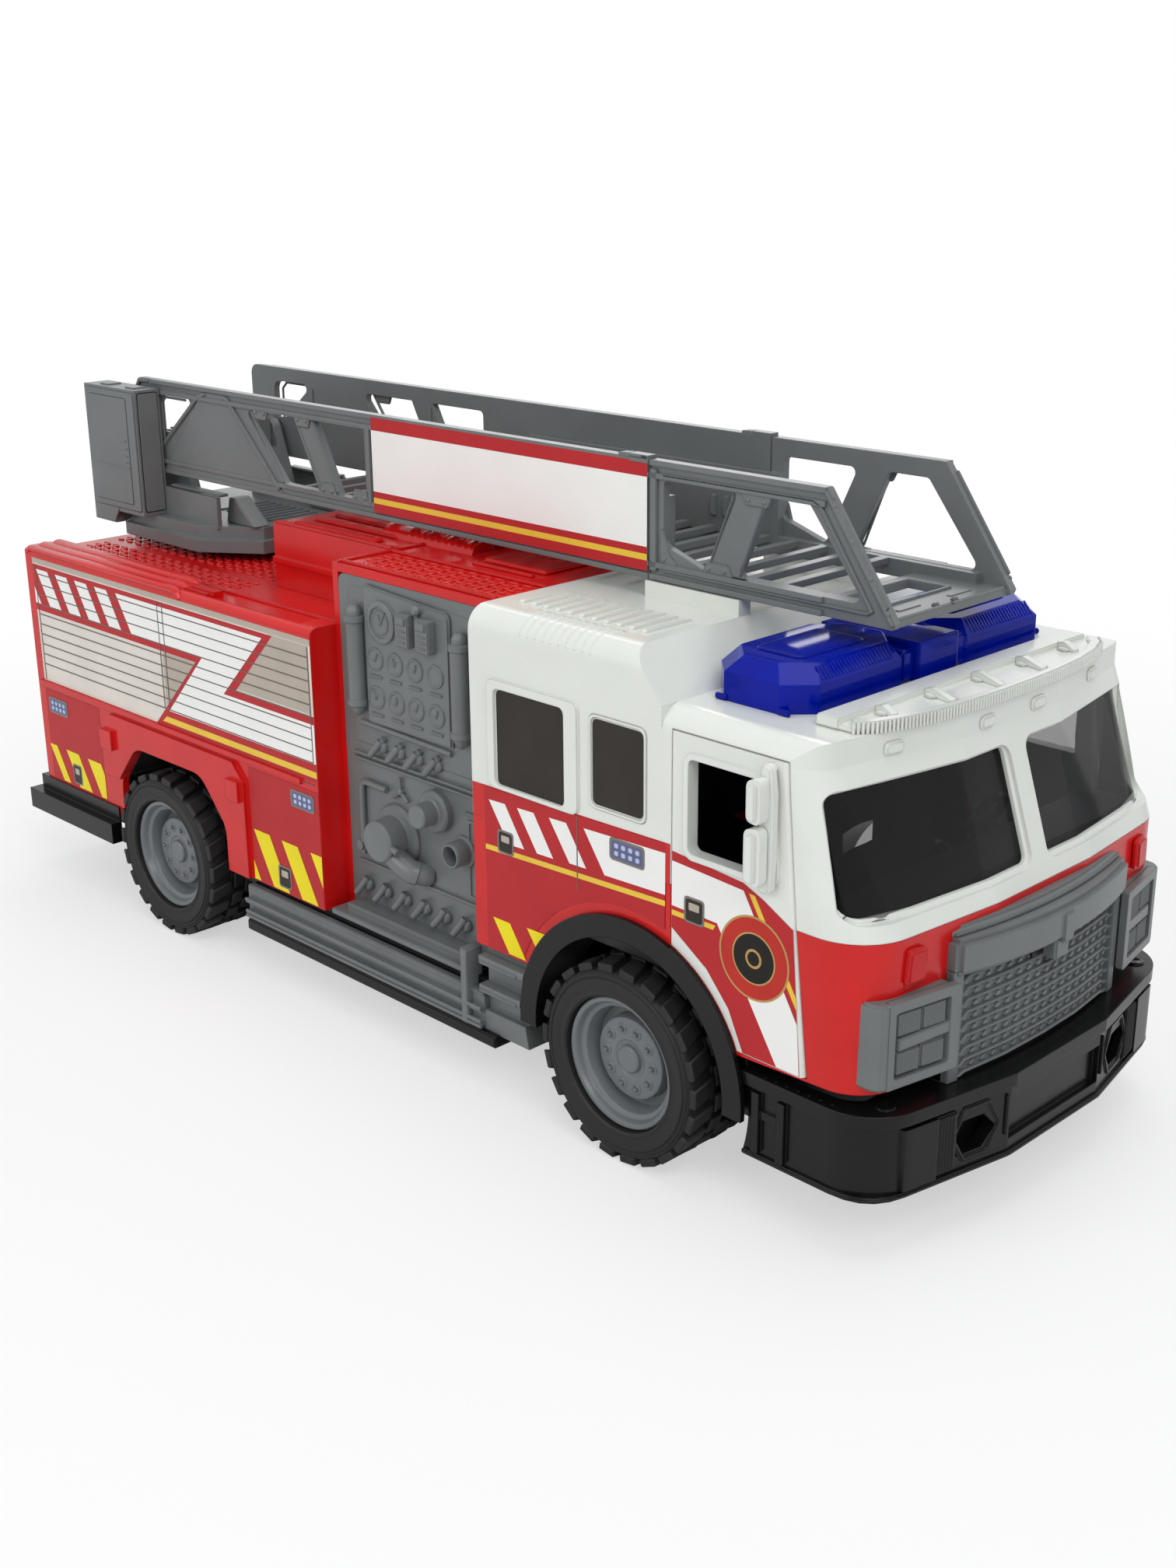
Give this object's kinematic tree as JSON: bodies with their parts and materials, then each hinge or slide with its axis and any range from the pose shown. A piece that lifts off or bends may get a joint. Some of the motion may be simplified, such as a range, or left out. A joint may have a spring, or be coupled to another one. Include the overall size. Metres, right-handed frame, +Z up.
{
  "type": "toy fire engine",
  "caption": "Toy ladder fire engine with rolling wheels, opening cab doors and a turning, raising and extending ladder.",
  "frame": {"origin": "on the floor under the middle of the whole toy", "axes": "+X forward, +Y to the vehicle's left, +Z up"},
  "size_m": [0.342, 0.1298, 0.155],
  "materials": {
    "red_plastic": "glossy",
    "white_plastic": "glossy",
    "grey_plastic": "satin",
    "black_plastic": "satin",
    "tyre": "matt",
    "smoked_glass": "clear",
    "blue_lens": "clear",
    "steel": "bright",
    "interior_plastic": "satin"
  },
  "bodies": {
    "root": {"chassis": "black_plastic", "rear_body": "red_plastic", "wheel_well_right": "black_plastic", "wheel_well_left": "black_plastic", "rear_step": "black_plastic", "pump_house": "red_plastic", "pump_panel_right": "grey_plastic", "pump_panel_left": "grey_plastic", "sill_right": "grey_plastic", "sill_left": "grey_plastic", "cab_step_right": "grey_plastic", "cab_step_left": "grey_plastic", "cab_lower": "red_plastic", "cab_upper": "white_plastic", "windscreen": "smoked_glass", "cab_floor": "interior_plastic", "seats": "interior_plastic", "dashboard": "interior_plastic", "steering_wheel": "interior_plastic", "front_arch_right": "black_plastic", "front_arch_left": "black_plastic", "front_bumper": "black_plastic", "grille": "grey_plastic", "headlight_right": "grey_plastic", "headlight_left": "grey_plastic", "visor_rack": "white_plastic", "light_bar": "blue_lens"},
    "rear_wheels": {"rear_axle": "steel", "rear_rim_right": "grey_plastic", "rear_rim_left": "grey_plastic", "rear_tyre_right": "tyre", "rear_tyre_left": "tyre"},
    "front_wheels": {"front_axle": "steel", "front_rim_right": "grey_plastic", "front_rim_left": "grey_plastic", "front_tyre_right": "tyre", "front_tyre_left": "tyre"},
    "right_door": {"door_right": "white_plastic", "mirror_right": "white_plastic"},
    "left_door": {"door_left": "white_plastic", "mirror_left": "white_plastic"},
    "turntable": {"turntable": "grey_plastic", "control_pod": "grey_plastic"},
    "ladder_base": {"ladder_base": "grey_plastic"},
    "ladder_fly": {"ladder_fly": "grey_plastic"}
  },
  "joints": [
    {"name": "rear_wheels_spin", "type": "hinge", "parent": "root", "child": "rear_wheels", "pos_m": [-0.091, 0, 0.0247], "axis": [0, 1, 0], "continuous": true},
    {"name": "front_wheels_spin", "type": "hinge", "parent": "root", "child": "front_wheels", "pos_m": [0.0943, 0, 0.0247], "axis": [0, 1, 0], "continuous": true},
    {"name": "right_door_swing", "type": "hinge", "parent": "root", "child": "right_door", "pos_m": [0.14339, -0.0571, 0.0387], "axis": [-0.0908, 0, 0.9959], "range_deg": [0, 55]},
    {"name": "left_door_swing", "type": "hinge", "parent": "root", "child": "left_door", "pos_m": [0.14339, 0.0571, 0.0387], "axis": [0.0908, 0, -0.9959], "range_deg": [0, 55]},
    {"name": "turntable_yaw", "type": "hinge", "parent": "root", "child": "turntable", "pos_m": [-0.1295, 0, 0.1062], "axis": [0, 0, 1], "continuous": true},
    {"name": "ladder_raise", "type": "hinge", "parent": "turntable", "child": "ladder_base", "pos_m": [-0.1405, 0, 0.1342], "axis": [0, -1, 0], "range_deg": [0, 60]},
    {"name": "ladder_extend", "type": "slide", "parent": "ladder_base", "child": "ladder_fly", "axis": [1, 0, 0], "range_m": [0, 0.08]}
  ]
}
